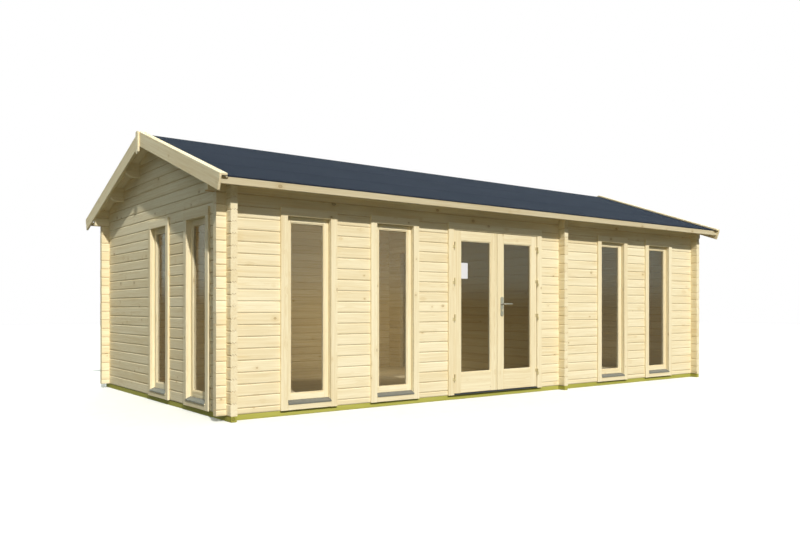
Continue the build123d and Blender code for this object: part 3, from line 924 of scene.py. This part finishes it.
def lever(solids, centre, face, reach, length):
    """Lever that comes straight out of its plate and bends along the door."""
    sign = math.copysign(1, reach)
    points = [Vector((centre.x, face, centre.z))]
    for step in range(LEVER_BEND_STEPS + 1):
        turn = math.pi / 2 * step / LEVER_BEND_STEPS
        x = centre.x + LEVER_BEND * (1 - math.cos(turn))
        y = face + reach - sign * LEVER_BEND * (1 - math.sin(turn))
        points.append(Vector((x, y, centre.z)))
    for share in LEVER_TIP_SHARES:
        points.append(Vector((centre.x + length * share, face + reach, centre.z)))
    tube(solids, points, *LEVER_SECTION, LEVER_END_SHARES)


plates_low, plates_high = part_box("right_door_lock_plates")
lever_low, lever_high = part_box("door_lever_handles")
leaf_low, leaf_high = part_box("right_door_leaf")
spindle = Vector((
    (plates_low.x + plates_high.x) / 2, (leaf_low.y + leaf_high.y) / 2, (lever_low.z + lever_high.z) / 2
))
levers, cylinders, screws, painted_keyhole_shades = Solids(), Solids(), Solids(), Solids()
for face, end in ((plates_low.y, lever_low.y), (plates_high.y, lever_high.y)):
    out = math.copysign(1, end - face)
    reach = end - face - out * LEVER_SECTION[0]
    lever(levers, spindle, face, reach, lever_high.x - spindle.x)
    foot = Vector((spindle.x, face, spindle.z))
    outward = Vector((0, out, 0))
    tube(levers, [foot, foot + outward * ROSETTE[1]], ROSETTE[0], ROSETTE[0], (1.0, ROSETTE_END_SHARE))
    drum = foot - Vector((0, 0, CYLINDER_DROP))
    tube(cylinders, [drum, drum + outward * CYLINDER[1]], CYLINDER[0], CYLINDER[0])
    leg = drum - Vector((0, 0, CYLINDER[0] * CYLINDER_LEG_SHARE))
    tube(cylinders, [leg, leg + outward * CYLINDER[1] / 2], CYLINDER[0] / 2, CYLINDER[0])
    # Painted shade: a thin dark slot on the cylinder face stands in for the shaded hole of the keyhole
    slot = drum + outward * CYLINDER[1]
    tube(painted_keyhole_shades, [slot, slot + outward * KEYHOLE[2]], *KEYHOLE[:2])
    for height in (plates_low.z + SCREW_INSET, plates_high.z - SCREW_INSET):
        head = Vector((spindle.x, face, height))
        tube(screws, [head, head + outward * SCREW[1]], SCREW[0], SCREW[0], (1.0, SCREW_END_SHARE))
spindle_ends = [Vector((spindle.x, face, spindle.z)) for face in (plates_low.y, plates_high.y)]
tube(levers, spindle_ends, SPINDLE_RADIUS, SPINDLE_RADIUS)
dress("right_door_lock_plates", STEEL, STEEL_EDGE, "right_door")
levers.build("lever_handles", STEEL, ["door_lever_handles"], "door_lever", "door_steel", smooth=True)
cylinders.build("lock_cylinders", HINGE_ZINC, (), "right_door", "door_steel")
screws.build("lock_plate_screws", HINGE_ZINC, (), "right_door", "door_steel")
painted_keyhole_shades.build("painted_keyhole_shades", THRESHOLD, (), "right_door", "dark_threshold")
dress("door_frame_hinges", HINGE_ZINC, HINGE_EDGE)
for side in ("left_door", "right_door"):
    dress(side + "_hinges", HINGE_ZINC, HINGE_EDGE, side)

# Felt turned down over the top of the fascias
for side, sign in (("front_", -1), ("back_", 1)):
    low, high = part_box(side + "fascia")
    felt_low, felt_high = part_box(side + "roof_felt")
    face = sign * max(abs(low.y), abs(high.y))
    near, far = sorted((face, face + sign * FELT_LAP))
    start = (felt_low.x, near, high.z - FELT_TURN_DOWN)
    end = (felt_high.x, far, high.z + FELT_LAP)
    strip = Solids()
    strip.plank(start, end, 0, edge=FELT_LAP / 3)
    strip.build("felt_edge_" + side.rstrip("_"), FELT, slot="roof_felt")

# Materials of the nodes that stay as they are
for node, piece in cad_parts.items():
    if piece.hide_render:
        continue
    if node == "window_glass":
        material = GLASS
    elif node.endswith("door_glass"):
        material = DOOR_GLASS
    elif node == "window_flashings":
        material = FLASHING
    else:
        material = THRESHOLD
    piece.data.materials.clear()
    piece.data.materials.append(material)

# Floor, light and camera
CAMERA_PLACE = (-6.838, -8.588, 1.072)
CAMERA_TRAVEL = (0.6, 0.8)
FOCAL_PIXELS = 752.8
PHOTO_WIDTH = 800
HORIZON_BELOW_CENTRE = 41
SENSOR = 36.0
FLOOR_REACH = 40.0
VIEW_REACH = 200.0

scene = bpy.context.scene
camera_data = bpy.data.cameras.new("camera")
camera_data.sensor_width = SENSOR
camera_data.lens = FOCAL_PIXELS * SENSOR / PHOTO_WIDTH
camera_data.shift_y = HORIZON_BELOW_CENTRE / PHOTO_WIDTH
camera_data.clip_end = VIEW_REACH
camera = bpy.data.objects.new("camera", camera_data)
camera.location = CAMERA_PLACE
camera.rotation_euler = (math.pi / 2, 0, -math.atan2(*CAMERA_TRAVEL))
scene.collection.objects.link(camera)
scene.camera = camera

floor_mesh = bpy.data.meshes.new("floor")
corners = [(FLOOR_REACH * a, FLOOR_REACH * b, 0) for a, b in ((-1, -1), (1, -1), (1, 1), (-1, 1))]
floor_mesh.from_pydata(corners, [], [(0, 1, 2, 3)])
floor_mesh.materials.append(plain_material("pale_floor", (0.95, 0.95, 0.94), 0.9))
floor = bpy.data.objects.new("floor", floor_mesh)
scene.collection.objects.link(floor)


def add_lamp(name, kind, strength, colour, travel):
    """Lamp that shines along a direction of travel."""
    data = bpy.data.lights.new(name, kind)
    data.energy = strength
    data.color = colour
    lamp = bpy.data.objects.new(name, data)
    lamp.rotation_euler = Vector(travel).to_track_quat("-Z", "Y").to_euler()
    scene.collection.objects.link(lamp)
    return lamp


# name, direction of travel, strength, width of the source in degrees, colour
LAMPS = (
    ("sun", (0.220, 0.762, -0.609), 3.48, 1.0, (1.0, 0.972, 0.905)),
    ("sky", (0.15, 0.25, -0.95), 1.18, 130.0, (1.0, 0.99, 0.935)),
    ("bounce", (0.2, 0.3, 0.95), 0.49, 130.0, (0.96, 1.0, 0.85)),
    ("back_fill", (-0.60, -0.77, -0.20), 1.35, 50.0, (1.0, 0.98, 0.93)),
)
for name, travel, strength, width, colour in LAMPS:
    lamp = add_lamp(name, "SUN", strength, colour, travel)
    lamp.data.angle = math.radians(width)

# name, place, direction of travel, width and height of the source, power, colour
ROOM_LAMPS = (
    ("left_room", (-0.45, 0.35, 1.0), (0, 1, 0), (2.3, 0.7), 8.4, (1.0, 0.88, 0.64)),
    ("left_floor", (-0.45, 0.30, 1.0), (0, 0, -1), (0.9, 0.9), 2.2, (1.0, 0.94, 0.82)),
    ("right_room", (1.60, -0.30, 1.0), (1, 0, 0), (1.6, 0.7), 1.3, (1.0, 0.84, 0.56)),
)
for name, place, travel, (width, height), power, colour in ROOM_LAMPS:
    lamp = add_lamp(name, "AREA", power, colour, travel)
    lamp.data.shape = "RECTANGLE"
    lamp.data.size = width
    lamp.data.size_y = height
    lamp.location = place
    lamp.visible_camera = False
    lamp.visible_glossy = False

# Surroundings: white to the camera, a pale sky over dull ground to gloss
SKY_GLOSS = (2.1, 2.7, 2.6)
GROUND_GLOSS = (0.8, 0.72, 0.45)
HORIZON_RISES = (-0.005, 0.05)
WHITE = (1.0, 1.0, 1.0)

world = bpy.data.worlds.new("studio")
scene.world = world
graph = Graph(world, "Background")
rise = graph.add("SeparateXYZ", {0: graph.add("TexCoord").outputs["Generated"]}).outputs["Z"]
gloss = graph.mix(graph.fade(rise, *HORIZON_RISES), SKY_GLOSS, GROUND_GLOSS)
graph.set(Color=graph.mix(graph.add("LightPath").outputs["Is Camera Ray"], gloss, WHITE), Strength=1.0)
world.cycles_visibility.diffuse = False
floor.visible_diffuse = False
floor.visible_glossy = False
floor.visible_shadow = False
scene.view_settings.view_transform = "Standard"
